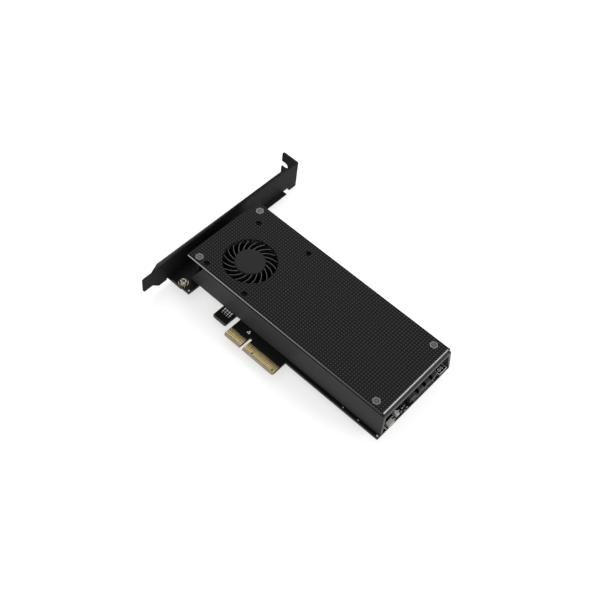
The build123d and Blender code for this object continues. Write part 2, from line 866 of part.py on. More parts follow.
# Drive standoff: a tinned brass bush soldered into the board where the drive's far end is held
with BuildPart() as drive_standoff:
    with BuildSketch():
        with Locations(fitted_hole):
            RegularPolygon(drive_standoff_radius, 6, major_radius=False)
    extrude(amount=drive_standoff_height)
    with BuildSketch(Plane.XY.offset(board_bottom)):
        with Locations(fitted_hole):
            Circle(drive_hole_radius - glue_gap)
    extrude(amount=board_thickness)
    with BuildSketch(Plane.XY.offset(board_bottom)):
        with Locations(fitted_hole):
            Circle(drive_thread_radius)
    extrude(amount=board_thickness + drive_standoff_height, mode=Mode.SUBTRACT)

save(drive_standoff.part, "drive_standoff")


# Drive screw: a small flat-topped screw that clamps the drive onto the standoff
drive_screw = screw(
    drive_head_radius,
    drive_head_height,
    drive_thread_radius - thread_gap,
    drive_screw_reach,
    drive_head_radius * 1.1,
)
with BuildPart() as drive_screws:
    with Locations((*fitted_hole, drive_standoff_height)):
        add(drive_screw)

save(drive_screws.part, "drive_screw")


# Drive heat sink: an extruded comb of aluminium under the plate, its fins along the air stream
fin_pitch = (sink_width - fin_thickness) / (fin_count - 1)
sink_bottom = bay_height + drive_pad_thickness
with BuildPart() as drive_heat_sink:
    with BuildSketch(Plane.YZ.offset(sink_left)):
        with Locations((bay_centre, sink_bottom + sink_base / 2)):
            Rectangle(sink_width, sink_base)
        with Locations((bay_centre, (sink_bottom + plate_bottom) / 2)):
            with GridLocations(fin_pitch, 0, fin_count, 1):
                Rectangle(fin_thickness, plate_bottom - sink_bottom)
    extrude(amount=sink_right - sink_left)

save(drive_heat_sink.part, "drive_heat_sink")


# Thermal pad: soft silicone on the heat sink's underside, facing the drive
with BuildPart() as thermal_pad:
    with BuildSketch(Plane.XY.offset(bay_height)):
        with Locations(((sink_left + sink_right) / 2, bay_centre)):
            Rectangle(sink_right - sink_left - 2 * pad_inset, sink_width - 2 * pad_inset)
    extrude(amount=drive_pad_thickness)

save(thermal_pad.part, "thermal_pad")


# Fan connector: a two-pin wafer on the board that takes the fan's lead, and its square pins
with BuildPart() as fan_connector:
    with BuildSketch():
        with Locations((fan_plug_x, fan_plug_y)):
            Rectangle(fan_plug_size[0], fan_plug_size[1])
    extrude(amount=fan_plug_size[2])
    with BuildSketch(Plane.XY.offset(fan_plug_floor)):
        with Locations((fan_plug_x, fan_plug_y)):
            Rectangle(fan_plug_size[0] - 2 * fan_plug_wall, fan_plug_size[1] - 2 * fan_plug_wall)
    extrude(amount=fan_plug_size[2] - fan_plug_floor, mode=Mode.SUBTRACT)
    with BuildSketch():
        with Locations(*fan_pin_places):
            Rectangle(fan_pin_side + 2 * glue_gap, fan_pin_side + 2 * glue_gap)
    extrude(amount=fan_plug_floor, mode=Mode.SUBTRACT)

save(fan_connector.part, "fan_connector")

with BuildPart() as fan_connector_pins:
    with BuildSketch(Plane.XY.offset(board_bottom - fan_pin_tail)):
        with Locations(*fan_pin_places):
            Rectangle(fan_pin_side, fan_pin_side)
    extrude(amount=fan_pin_tail + board_thickness + fan_pin_height)

save(fan_connector_pins.part, "fan_connector_pins")


# Lead rings: tinned rings round two free plated holes at the board's back corner
with BuildPart() as lead_rings:
    with BuildSketch():
        with Locations(*lead_holes):
            Circle(lead_ring_radius)
            Circle(lead_hole_radius, mode=Mode.SUBTRACT)
    extrude(amount=pad_thickness)

save(lead_rings.part, "lead_rings")


# Fiducial marks: bare plated discs in the board's front corners for the placing machine
with BuildPart() as fiducial_marks:
    with BuildSketch():
        with Locations(
            (board_right - fiducial_inset, board_front + fiducial_inset),
            (ear_tab_right - fiducial_inset, ear_tab_front + fiducial_inset),
        ):
            Circle(fiducial_radius)
    extrude(amount=pad_thickness)

save(fiducial_marks.part, "fiducial_marks")


# Status lamp: a white lamp package at the free end
with BuildPart() as status_lamp:
    with BuildSketch():
        with Locations(led_place):
            Rectangle(led_size[0], led_size[1])
        fillet(vertices(), 0.3)
    extrude(amount=led_size[2])

save(status_lamp.part, "status_lamp")


# Power inductor: a square ferrite block with a round top
with BuildPart() as power_inductor:
    with BuildSketch():
        with Locations(inductor_place):
            Rectangle(inductor_size, inductor_size)
        fillet(vertices(), 0.35)
    extrude(amount=inductor_height * 0.6)
    with BuildSketch(Plane.XY.offset(inductor_height * 0.6)):
        with Locations(inductor_place):
            Circle(inductor_size / 2 - 0.1)
    extrude(amount=inductor_height * 0.4)

save(power_inductor.part, "power_inductor")


# Regulator: a moulded power chip, flat on the board
with BuildPart() as regulator_chip:
    with BuildSketch():
        with Locations(regulator_place):
            Rectangle(regulator_size[0], regulator_size[1])
    extrude(amount=regulator_size[2])

save(regulator_chip.part, "regulator_chip")


def chips(places):
    """Bodies of two-ended chip parts, lengthwise along Y, between their solder ends."""
    with BuildPart() as group:
        with BuildSketch():
            with Locations(*places):
                Rectangle(chip_width, chip_length - 2 * chip_end)
        extrude(amount=chip_height)
    return group.part


# Chip parts: capacitors, resistors and the row of coupling capacitors behind the fingers
coupling_places = tuple((coupling_first + coupling_pitch * i, coupling_y) for i in range(coupling_count))
save(chips(capacitor_places), "chip_capacitors")
save(chips(resistor_places), "chip_resistors")
save(chips(coupling_places), "coupling_capacitors")


# Chip ends: the tinned caps at both ends of every chip part
end_offset = (chip_length - chip_end) / 2
with BuildPart() as chip_ends:
    with BuildSketch():
        for x, y in capacitor_places + resistor_places + coupling_places:
            with Locations((x, y - end_offset), (x, y + end_offset)):
                Rectangle(chip_width, chip_end)
    extrude(amount=chip_height)

save(chip_ends.part, "chip_ends")
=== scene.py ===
from math import pi, radians

import bpy
from mathutils import Matrix, Vector


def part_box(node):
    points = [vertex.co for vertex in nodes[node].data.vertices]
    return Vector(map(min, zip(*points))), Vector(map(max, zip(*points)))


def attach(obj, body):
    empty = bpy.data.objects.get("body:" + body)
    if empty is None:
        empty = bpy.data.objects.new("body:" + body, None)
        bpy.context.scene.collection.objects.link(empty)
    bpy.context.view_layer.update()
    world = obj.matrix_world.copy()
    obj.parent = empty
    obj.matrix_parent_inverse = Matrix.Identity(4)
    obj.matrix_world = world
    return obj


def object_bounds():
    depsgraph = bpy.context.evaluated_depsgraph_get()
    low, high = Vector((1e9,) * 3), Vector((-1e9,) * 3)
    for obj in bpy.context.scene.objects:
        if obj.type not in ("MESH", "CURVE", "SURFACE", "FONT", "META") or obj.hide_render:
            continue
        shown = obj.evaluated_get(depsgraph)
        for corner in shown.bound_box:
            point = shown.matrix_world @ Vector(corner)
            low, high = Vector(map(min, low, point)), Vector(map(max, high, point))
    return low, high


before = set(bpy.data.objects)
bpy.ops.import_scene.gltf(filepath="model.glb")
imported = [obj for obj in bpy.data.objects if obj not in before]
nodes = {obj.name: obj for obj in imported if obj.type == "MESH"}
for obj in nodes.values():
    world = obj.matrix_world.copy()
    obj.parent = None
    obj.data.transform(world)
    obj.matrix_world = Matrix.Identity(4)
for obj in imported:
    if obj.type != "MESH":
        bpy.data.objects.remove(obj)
cad_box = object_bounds()
bpy.ops.object.select_all(action="DESELECT")


# Circuit board: black glass-fibre laminate with a matte solder mask, routed to its outline. The
# mask is faintly uneven over the copper under it and ends above the contact fingers. The routed
# edges and the tongue's bevels show the bare laminate.
def new_material(name, colour, roughness, metallic=0.0, specular=0.5):
    """A node material with one principled shader, and the shader node itself."""
    material = bpy.data.materials.new(name)
    material.use_nodes = True
    shader = material.node_tree.nodes["Principled BSDF"]
    shader.inputs["Base Color"].default_value = (*colour, 1)
    shader.inputs["Roughness"].default_value = roughness
    shader.inputs["Metallic"].default_value = metallic
    shader.inputs["Specular IOR Level"].default_value = specular
    return material, shader


def add_node(material, kind, values=None, **settings):
    """A node of one kind in a material, with its settings and its named or numbered inputs."""
    node = material.node_tree.nodes.new(kind)
    for key, value in settings.items():
        setattr(node, key, value)
    for key, value in (values or {}).items():
        node.inputs[key].default_value = value
    return node


def link(material, source, target):
    """Joins an output to an input of a material's nodes."""
    material.node_tree.links.new(source, target)


def object_position(material, scale=(1, 1, 1)):
    """The place on the piece, scaled for a pattern."""
    place = add_node(material, "ShaderNodeTexCoord")
    mapping = add_node(material, "ShaderNodeMapping", {"Scale": scale})
    link(material, place.outputs["Object"], mapping.inputs["Vector"])
    return mapping.outputs["Vector"]


def grain(material, shader, colours, scale, bump, roughness=None, stretch=(1, 1, 1)):
    """A fine noise that varies a finish's colour, its relief and, if asked, its roughness."""
    fineness = {"Scale": scale, "Detail": 4.0, "Roughness": 0.6}
    noise = add_node(material, "ShaderNodeTexNoise", fineness)
    link(material, object_position(material, stretch), noise.inputs["Vector"])
    ramp = add_node(material, "ShaderNodeValToRGB")
    ramp.color_ramp.elements[0].position = 0.35
    ramp.color_ramp.elements[1].position = 0.65
    ramp.color_ramp.elements[0].color = (*colours[0], 1)
    ramp.color_ramp.elements[1].color = (*colours[1], 1)
    link(material, noise.outputs["Fac"], ramp.inputs["Fac"])
    link(material, ramp.outputs["Color"], shader.inputs["Base Color"])
    relief = add_node(material, "ShaderNodeBump", {"Strength": bump, "Distance": 0.0001})
    link(material, noise.outputs["Fac"], relief.inputs["Height"])
    link(material, relief.outputs["Normal"], shader.inputs["Normal"])
    if roughness:
        limits = {"To Min": roughness[0], "To Max": roughness[1]}
        spread = add_node(material, "ShaderNodeMapRange", limits)
        link(material, noise.outputs["Fac"], spread.inputs["Value"])
        link(material, spread.outputs["Result"], shader.inputs["Roughness"])


def colour_so_far(shader):
    """The output that gives a shader its colour, for another colour to be laid over it."""
    return shader.inputs["Base Color"].links[0].from_socket


def dress(node, *materials):
    """Gives a piece its materials, the first one all over."""
    piece = nodes[node] if isinstance(node, str) else node
    piece.data.materials.clear()
    for material in materials:
        piece.data.materials.append(material)
    for face in piece.data.polygons:
        face.material_index = 0
    return piece


def paint(piece, material, wanted):
    """Gives the faces that pass a test, by centre in mm and normal, another of its materials."""
    index = list(piece.data.materials).index(material)
    for face in piece.data.polygons:
        if wanted(face.center * 1000, face.normal):
            face.material_index = index


mask_end = 0.0047
opening_colour = (0.15, 0.125, 0.065, 1)
mask_tones = ((0.0052, 0.0054, 0.0056), (0.0078, 0.008, 0.0082))
mask_black, mask_shader = new_material(
    "solder_mask", (0.0065, 0.0067, 0.0069), roughness=0.42, specular=0.1
)
grain(mask_black, mask_shader, mask_tones, scale=900.0, bump=0.12, roughness=(0.36, 0.5))
mask_place = add_node(mask_black, "ShaderNodeSeparateXYZ")
link(mask_black, object_position(mask_black), mask_place.inputs["Vector"])
mask_open = add_node(mask_black, "ShaderNodeMath", {1: mask_end}, operation="LESS_THAN")
link(mask_black, mask_place.outputs["Y"], mask_open.inputs[0])
mask_mix = add_node(mask_black, "ShaderNodeMixRGB", {"Color2": opening_colour})
link(mask_black, mask_open.outputs[0], mask_mix.inputs["Fac"])
link(mask_black, colour_so_far(mask_shader), mask_mix.inputs["Color1"])
link(mask_black, mask_mix.outputs["Color"], mask_shader.inputs["Base Color"])
edge_tones = ((0.012, 0.011, 0.008), (0.09, 0.078, 0.05))
laminate_edge, laminate_shader = new_material("bare_laminate", (0.04, 0.035, 0.023), roughness=0.8)
grain(laminate_edge, laminate_shader, edge_tones, scale=900.0, bump=0.4, stretch=(0.5, 0.5, 2))
bevel_tones = ((0.3, 0.27, 0.18), (0.42, 0.39, 0.28))
bevel_bare, bevel_shader = new_material("bevelled_laminate", (0.36, 0.33, 0.23), roughness=0.7)
grain(bevel_bare, bevel_shader, bevel_tones, scale=3000.0, bump=0.3, stretch=(0.2, 1, 1))
tongue_middle = 5.0
tongue_half = 18.0
bevel_end = 1.3
circuit_board = dress("circuit_board", mask_black, laminate_edge, bevel_bare)
paint(circuit_board, laminate_edge, lambda centre, normal: abs(normal.z) < 0.5)
paint(
    circuit_board,
    bevel_bare,
    lambda centre, normal: centre.y < bevel_end
    and abs(centre.x - tongue_middle) < tongue_half
    and normal.y < -0.2,
)

# Board print: white ink, screen-printed on the component side after the mask. It is a frame round
# the lead holes, arcs by the socket, a corner mark, and plain bars on the guard tab. Like the
# copper and the plating of the next section, it is a thin film on the board's face.
film_height = 0.00001
film_thickness = 0.00002
film_pieces = []


def film_start(x, y, height):
    """Deselects everything and gives a place on one of the board's faces, from millimetres."""
    bpy.ops.object.select_all(action="DESELECT")
    return (x / 1000, y / 1000, height)


def film_done(turn=0.0):
    """Puts a flat shape's place into its mesh and keeps it for joining."""
    shape = bpy.context.object
    shape.rotation_euler.z = radians(turn)
    bpy.ops.object.transform_apply(location=True, rotation=True, scale=True)
    film_pieces.append(shape)


def film_bar(x, y, length, width, turn=0.0, height=film_height):
    """A flat bar, lengthwise along X before its turn."""
    bpy.ops.mesh.primitive_plane_add(size=1, location=film_start(x, y, height))
    bpy.context.object.scale = (length / 1000, width / 1000, 1)
    film_done(turn)


def film_outline(line):
    """Cuts the middle out of the flat shape that was just added, to leave its outline."""
    bpy.ops.object.transform_apply(location=False, rotation=False, scale=True)
    bpy.ops.object.mode_set(mode="EDIT")
    bpy.ops.mesh.select_all(action="SELECT")
    bpy.ops.mesh.inset(thickness=line / 1000)
    bpy.ops.mesh.delete(type="FACE")
    bpy.ops.object.mode_set(mode="OBJECT")


def film_frame(x, y, length, width, line):
    """A rectangle's outline on the component side."""
    bpy.ops.mesh.primitive_plane_add(size=1, location=film_start(x, y, film_height))
    bpy.context.object.scale = (length / 1000, width / 1000, 1)
    film_outline(line)
    film_done()


def film_ring(x, y, radius, line, half=None, height=film_height):
    """A flat ring, or half of one, whose gap then faces along the given direction."""
    place = film_start(x, y, height)
    bpy.ops.mesh.primitive_circle_add(
        vertices=40, radius=radius / 1000, fill_type="NGON", location=place
    )
    film_outline(line)
    if half:
        bpy.ops.object.mode_set(mode="EDIT")
        bpy.ops.mesh.select_all(action="SELECT")
        middle = (x / 1000, y / 1000, 0)
        bpy.ops.mesh.bisect(plane_co=middle, plane_no=half, clear_outer=True)
        bpy.ops.object.mode_set(mode="OBJECT")
    film_done()


def film_join(name, material):
    """Joins the shapes made since the last joining into one thin film on the card."""
    bpy.ops.object.select_all(action="DESELECT")
    for shape in film_pieces:
        shape.select_set(True)
    bpy.context.view_layer.objects.active = film_pieces[0]
    bpy.ops.object.join()
    film_pieces.clear()
    film = bpy.context.object
    film.name = name
    thickness = film.modifiers.new("thickness", "SOLIDIFY")
    thickness.thickness = film_thickness
    thickness.offset = 1.0
    bpy.ops.object.modifier_apply(modifier=thickness.name)
    film.data.materials.clear()
    film.data.materials.append(material)
    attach(film, "card")
    bpy.ops.object.select_all(action="DESELECT")


board_ink, ink_shader = new_material("board_ink", (0.8, 0.8, 0.78), roughness=0.6, specular=0.3)
grain(board_ink, ink_shader, ((0.72, 0.72, 0.7), (0.88, 0.88, 0.86)), scale=4000.0, bump=0.1)
bold_line = 0.35
plain_line = 0.25
fine_line = 0.15
corner_length = 1.9
lead_frame = (80.9, 64.1, 4.1, 6.4)
socket_arcs = ((82.1, 59.3, 0.8), (82.5, 56.7, 0.75))
arc_gap = (1, 0, 0)
socket_dash = (81.0, 60.2, 1.0, 0.3)
lamp_frame = (82.0, 21.2, 2.75, 5.2)
inductor_frame = (81.0, 27.3, 3.1, 3.1)
film_frame(*lead_frame, bold_line)
for arc in socket_arcs:
    film_ring(*arc, plain_line, arc_gap)
film_bar(*socket_dash)
film_bar(82.4, 17.2, corner_length, bold_line)
film_bar(81.6, 16.2, bold_line, corner_length)
film_frame(*lamp_frame, fine_line)
film_frame(*inductor_frame, fine_line)
guard_columns = 4
guard_start = -22.5
guard_pitch = 1.6
guard_rows = ((0.0, 11.5, 0.95, 1.1), (0.15, 10.0, 0.9, 0.7), (0.3, 8.9, 0.5, 0.4))
for column in range(guard_columns):
    for shift, row_y, length, width in guard_rows:
        film_bar(guard_start + guard_pitch * column + shift, row_y, length, width)
dot_radius = 0.5
dot_line = 0.42
for dot_x, dot_y in ((-4.0, 9.4), (-2.9, 9.4), (-3.45, 10.3)):
    film_ring(dot_x, dot_y, dot_radius, dot_line)
dash_length = 0.9
for dash_x, dash_y in ((-47.5, 6.0), (60.0, 11.2), (70.0, 11.2)):
    film_bar(dash_x, dash_y, dash_length, plain_line)
film_join("board_print", board_ink)

# Solder side: eight copper lines under the mask run from the fingers towards the drive socket,
# each between two plated vias. The drive's free holes have plated rings on both faces.
board_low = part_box("circuit_board")[0].z
solder_height = board_low - film_height - film_thickness
line_width = 0.35
lines = 8
first_line = (3.0, 40.0)
line_steps = (2.2, -1.5)
start_y = 18.0
end_x = 68.0
corner_cut = 2.0
corner_run = 2.9
line_ends = []
for lane in range(lines):
    lane_x = first_line[0] + line_steps[0] * lane
    lane_y = first_line[1] + line_steps[1] * lane
    cut_y, cut_x = lane_y - corner_cut, lane_x + corner_cut
    line_ends += [(lane_x, start_y), (end_x, lane_y)]
    film_bar(lane_x, (start_y + cut_y) / 2, line_width, cut_y - start_y, height=solder_height)
    corner_x, corner_y = lane_x + corner_cut / 2, lane_y - corner_cut / 2
    film_bar(corner_x, corner_y, corner_run, line_width, 45.0, solder_height)
    film_bar((cut_x + end_x) / 2, lane_y, end_x - cut_x, line_width, height=solder_height)
masked_copper, copper_shader = new_material(
    "masked_copper", (0.009, 0.0093, 0.0095), roughness=0.36, specular=0.3
)
copper_tones = ((0.008, 0.0083, 0.0085), (0.011, 0.0113, 0.0115))
grain(masked_copper, copper_shader, copper_tones, scale=900.0, bump=0.08)
film_join("copper_lines", masked_copper)

solder, solder_shader = new_material(
    "matte_solder", (0.55, 0.55, 0.54), roughness=0.45, metallic=0.3
)
solder_tones = ((0.48, 0.48, 0.47), (0.62, 0.62, 0.61))
grain(solder, solder_shader, solder_tones, scale=2000.0, bump=0.2, roughness=(0.38, 0.5))
via_radius = 0.4
via_line = 0.2
for via_x, via_y in line_ends:
    film_ring(via_x, via_y, via_radius, via_line, height=solder_height)
bay_middle = 47.6
hole_ring_radius = 2.6
hole_ring_line = 1.05
free_holes = (-32.7, 17.3, 35.3)
for hole_x in free_holes:
    for face_height in (film_height, solder_height):
        film_ring(hole_x, bay_middle, hole_ring_radius, hole_ring_line, height=face_height)
film_join("plated_rings", solder)

# Solder joints: a rounded cone of solder round each pin of the fan's connector, where its tail
# comes out on the solder side. It is wide at the board and narrow at the pin's tip.
joint_x = -0.0015
joint_depth = 0.0006
joint_tip = 0.00045
joint_foot = 0.0009
for joint_name, joint_y in (("solder_joint_near", 0.0265), ("solder_joint_far", 0.0285)):
    bpy.ops.object.select_all(action="DESELECT")
    bpy.ops.mesh.primitive_cone_add(
        vertices=24,
        radius1=joint_tip,
        radius2=joint_foot,
        depth=joint_depth,
        location=(joint_x, joint_y, board_low - joint_depth / 2),
    )
    bpy.ops.object.mode_set(mode="EDIT")
    bpy.ops.mesh.select_all(action="SELECT")
    bpy.ops.mesh.bevel(offset=0.00012, segments=3)
    bpy.ops.object.mode_set(mode="OBJECT")
    bpy.ops.object.transform_apply(location=True, rotation=True, scale=True)
    joint = bpy.context.object
    joint.name = joint_name
    joint.data.materials.append(solder)
    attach(joint, "card")
bpy.ops.object.select_all(action="DESELECT")

# Contact fingers: copper pads under hard gold plate, on both faces of the tongue, with fine
# polishing marks along each pad and a little darker tone where the plate is thin.
gold_tones = ((0.36, 0.27, 0.118), (0.48, 0.37, 0.18))
gold_plate, gold_shader = new_material(
    "gold_plate", (0.42, 0.32, 0.145), roughness=0.34, metallic=1.0
)
grain(
    gold_plate,
    gold_shader,
    gold_tones,
    scale=700.0,
    bump=0.15,
    roughness=(0.26, 0.4),
    stretch=(3, 0.3, 1),
)
for pads in ("component_side_contacts", "solder_side_contacts", "screw_pads"):
    dress(pads, gold_plate)

# Slot bracket: one folded steel sheet under a matte black coat, with its ears, tongue and shelf
# formed before coating. The coat has a fine orange-peel grain. Along the long upper edge the coat
# carries painted light and shade, going from grey by the tongue to near black by the shelf.
coat_tones = ((0.012, 0.012, 0.0123), (0.018, 0.018, 0.0183))
coat_black, coat_shader = new_material(
    "black_coat", (0.015, 0.015, 0.0153), roughness=0.55, specular=0.04
)
grain(coat_black, coat_shader, coat_tones, scale=1100.0, bump=0.3, roughness=(0.44, 0.62))
# Painted light and shade: a band along the upper edge, grey by the tongue and near black by the
# shelf.
edge_shade_width = 0.002
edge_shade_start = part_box("slot_bracket")[1].z - edge_shade_width
coat_place = add_node(coat_black, "ShaderNodeSeparateXYZ")
link(coat_black, object_position(coat_black), coat_place.inputs["Vector"])
edge_shade_part = add_node(coat_black, "ShaderNodeMath", {1: edge_shade_start}, operation="GREATER_THAN")
link(coat_black, coat_place.outputs["Z"], edge_shade_part.inputs[0])
edge_shade_fade = add_node(coat_black, "ShaderNodeMapRange", {"From Min": 0.03, "From Max": 0.06})
link(coat_black, coat_place.outputs["Y"], edge_shade_fade.inputs["Value"])
edge_shade_tone = add_node(coat_black, "ShaderNodeValToRGB")
edge_shade_tone.color_ramp.elements[0].color = (0.045, 0.045, 0.045, 1)
edge_shade_tone.color_ramp.elements[1].color = (0.005, 0.005, 0.005, 1)
link(coat_black, edge_shade_fade.outputs["Result"], edge_shade_tone.inputs["Fac"])
edge_shade_mix = add_node(coat_black, "ShaderNodeMixRGB")
link(coat_black, edge_shade_part.outputs[0], edge_shade_mix.inputs["Fac"])
link(coat_black, colour_so_far(coat_shader), edge_shade_mix.inputs["Color1"])
link(coat_black, edge_shade_tone.outputs["Color"], edge_shade_mix.inputs["Color2"])
link(coat_black, edge_shade_mix.outputs["Color"], coat_shader.inputs["Base Color"])
dress("slot_bracket", coat_black)

# Bracket screws: nickel-plated steel, driven through the board into the bracket's ears. The
# plate is smooth, with turning marks round the head.
nickel_tones = ((0.215, 0.2, 0.178), (0.31, 0.285, 0.255))
nickel_plate, nickel_shader = new_material(
    "nickel_plate", (0.26, 0.24, 0.212), roughness=0.36, metallic=1.0
)
grain(nickel_plate, nickel_shader, nickel_tones, scale=1500.0, bump=0.1, roughness=(0.28, 0.42))
dress("bracket_screws", nickel_plate)
dress("drive_screw", nickel_plate)

# Cooling cover: an aluminium channel, anodised black after its top was stamped with a grid of
# small points, whose lighter grey is painted highlight. The front and end edges were cut bright
# afterwards, and their grey carries a painted highlight that fades along the front towards the
# free end and across the end edge. The ends are sawn. The plate's edges, the cuts in it, the faces
# by the bracket, the fan screws' holes and the fan's screws are painted near black as shade.
point_pitch = 0.0016
point_highlight_grey = 0.042
point_blue = 1.02
ground_grey = 0.006
cover_top, top_shader = new_material(
    "stamped_top", (0.02, 0.02, 0.02), roughness=0.55, specular=0.06
)
pattern_place = object_position(cover_top, (2 * pi / point_pitch,) * 3)
split = add_node(cover_top, "ShaderNodeSeparateXYZ")
link(cover_top, pattern_place, split.inputs["Vector"])
wave_x = add_node(cover_top, "ShaderNodeMath", operation="COSINE")
wave_y = add_node(cover_top, "ShaderNodeMath", operation="COSINE")
link(cover_top, split.outputs["X"], wave_x.inputs[0])
link(cover_top, split.outputs["Y"], wave_y.inputs[0])
points = add_node(cover_top, "ShaderNodeMath", operation="ADD")
link(cover_top, wave_x.outputs[0], points.inputs[0])
link(cover_top, wave_y.outputs[0], points.inputs[1])
rise = add_node(
    cover_top,
    "ShaderNodeMapRange",
    {"From Min": 0.5, "From Max": 1.5},
    interpolation_type="SMOOTHSTEP",
)
link(cover_top, points.outputs[0], rise.inputs["Value"])
# Painted highlight: the points get a lighter grey than the ground, besides their relief.
point_colour = add_node(cover_top, "ShaderNodeValToRGB")
point_colour.color_ramp.elements[0].color = (ground_grey, ground_grey, ground_grey, 1)
point_colour.color_ramp.elements[1].color = (point_highlight_grey, point_highlight_grey, point_highlight_grey * point_blue, 1)
link(cover_top, rise.outputs["Result"], point_colour.inputs["Fac"])
link(cover_top, point_colour.outputs["Color"], top_shader.inputs["Base Color"])
point_relief = add_node(cover_top, "ShaderNodeBump", {"Strength": 0.5, "Distance": 0.00015})
link(cover_top, rise.outputs["Result"], point_relief.inputs["Height"])
link(cover_top, point_relief.outputs["Normal"], top_shader.inputs["Normal"])

side_tones = ((0.05, 0.05, 0.0505), (0.056, 0.056, 0.0565))
cover_side, side_shader = new_material(
    "anodised_side", (0.053, 0.053, 0.0535), roughness=0.55, specular=0.08
)
grain(
    cover_side,
    side_shader,
    side_tones,
    scale=600.0,
    bump=0.06,
    roughness=(0.5, 0.6),
    stretch=(0.15, 1, 1),
)


def bright_cut_with_highlight(name, axis, near, far, near_grey, far_grey):
    """Bright-cut metal whose grey, a painted highlight, changes from one place along an axis to
    another.
    """
    even_tone = (near_grey, near_grey, near_grey)
    material, shader = new_material(name, even_tone, roughness=0.4, metallic=1.0)
    grain(
        material,
        shader,
        (even_tone, even_tone),
        scale=900.0,
        bump=0.05,
        roughness=(0.36, 0.44),
        stretch=(3, 3, 0.3),
    )
    place = add_node(material, "ShaderNodeSeparateXYZ")
    link(material, object_position(material), place.inputs["Vector"])
    fade = add_node(material, "ShaderNodeMapRange", {"From Min": near, "From Max": far})
    link(material, place.outputs[axis], fade.inputs["Value"])
    tone = add_node(material, "ShaderNodeValToRGB")
    tone.color_ramp.elements[0].color = (near_grey, near_grey, near_grey, 1)
    tone.color_ramp.elements[1].color = (far_grey, far_grey, far_grey, 1)
    link(material, fade.outputs["Result"], tone.inputs["Fac"])
    link(material, tone.outputs["Color"], shader.inputs["Base Color"])
    return material


cover_low, cover_high = (corner * 1000 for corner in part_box("cooling_cover"))
end_cut_width = 0.2
end_cut_from_end = 2.25
cut_inner = (cover_high.x - end_cut_from_end) / 1000
cut_outer = (cover_high.x - end_cut_from_end + end_cut_width) / 1000
# Painted highlight on the bright cuts: the front edge's fades towards the free end, the end edge's
# across its width.
front_cut_highlight = bright_cut_with_highlight("front_cut_highlight_edge", "X", cover_low.x / 1000, cut_outer, 0.5, 0.065)
end_cut_highlight = bright_cut_with_highlight("end_cut_highlight_edge", "X", cut_inner, cut_outer, 0.11, 0.02)
sawn_tones = ((0.03, 0.03, 0.032), (0.044, 0.044, 0.046))
sawn_end, sawn_shader = new_material(
    "sawn_end", (0.036, 0.036, 0.038), roughness=0.55, metallic=0.1, specular=0.3
)
grain(
    sawn_end,
    sawn_shader,
    sawn_tones,
    scale=1200.0,
    bump=0.3,
    roughness=(0.45, 0.6),
    stretch=(1, 0.2, 2),
)
# Painted shade: a near-black material for shaded edges, recesses and hollows, and for the fan's
# screws.
shade_tones = ((0.003, 0.003, 0.0032), (0.006, 0.006, 0.0062))
painted_shade_black, shade_shader = new_material(
    "painted_shade_black", (0.004, 0.004, 0.0042), roughness=0.7, specular=0.1
)
grain(painted_shade_black, shade_shader, shade_tones, scale=1500.0, bump=0.2)
cooling_cover = dress(
    "cooling_cover", cover_side, cover_top, front_cut_highlight, sawn_end, painted_shade_black, end_cut_highlight
)
chamfer_deep = cover_high.z - 1
plate_under = cover_high.z - 1.75
step_level = cover_high.z - 1.7
wall_start = cover_high.z - 1.6
sawn_start = cover_high.x - 1.1
level_tolerance = 0.05
bracket_end_top = cover_high.z - 0.5
square_on = 0.9
slanted = 0.3


def is_plate_top(centre, normal):
    """The plate's stamped upper face."""
    return normal.z > square_on and centre.z > cover_high.z - level_tolerance


def is_front_chamfer(centre, normal):
    """The bright cut along the front edge."""
    return centre.z > chamfer_deep and normal.y < -slanted and normal.z > slanted


def is_end_chamfer(centre, normal):
    """The bright cut along the free end's edge."""
    return centre.z > chamfer_deep and normal.x > slanted and normal.z > slanted


def is_sawn_wall(centre, normal):
    """The walls' ends at the free end."""
    return centre.x > sawn_start and normal.x > square_on and centre.z < wall_start


def is_plate_edge(centre, normal):
    """The plate's edges and the sides of the cuts in it."""
    return centre.z > plate_under and abs(normal.z) < 0.5


def is_step(centre, normal):
    """The low step along the plate's ends, seen from above."""
    return abs(centre.z - step_level) < level_tolerance and normal.z > square_on


def is_bracket_end(centre, normal):
    """What faces up, below the plate's top, in the half by the bracket."""
    return centre.z < bracket_end_top and normal.z > square_on and centre.x < 0


def is_inner_end(centre, normal):
    """The walls' ends by the bracket."""
    return centre.z < plate_under and normal.x < -slanted


paint(cooling_cover, cover_top, is_plate_top)
paint(cooling_cover, front_cut_highlight, is_front_chamfer)
paint(cooling_cover, end_cut_highlight, is_end_chamfer)
paint(cooling_cover, sawn_end, is_sawn_wall)
# Painted shade: the plate's edges, the cuts' sides, the upward faces by the bracket and the walls'
# ends there go near black.
paint(cooling_cover, painted_shade_black, is_plate_edge)
paint(cooling_cover, sawn_end, is_step)
paint(cooling_cover, painted_shade_black, is_bracket_end)
paint(cooling_cover, painted_shade_black, is_inner_end)
screw_low, screw_high = (corner * 1000 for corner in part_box("fan_screws"))
fan_low, fan_high = (corner * 1000 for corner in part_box("fan_rotor"))
fan_middle = (fan_low + fan_high) / 2
screw_head = 1.5
countersink_reach = 2.0
countersink_top = cover_high.z - 0.1
near_x, near_y = screw_low.x + screw_head, screw_low.y + screw_head
far_x, far_y = screw_high.x - screw_head, screw_high.y - screw_head
back_screw_shift = 21.7
side_screw_shift = 12.6
screw_middles = (
    (near_x, near_y),
    (near_x, fan_middle.y + back_screw_shift),
    (fan_middle.x + side_screw_shift, near_y),
    (far_x, far_y),
)


def is_countersink(centre, normal):
    """The countersunk holes of the fan's four screws, below the plate's top."""
    if centre.z > countersink_top:
        return False
    reach = countersink_reach**2
    return any((centre.x - x) ** 2 + (centre.y - y) ** 2 < reach for x, y in screw_middles)


# Painted shade: the fan screws' holes go near black.
paint(cooling_cover, painted_shade_black, is_countersink)
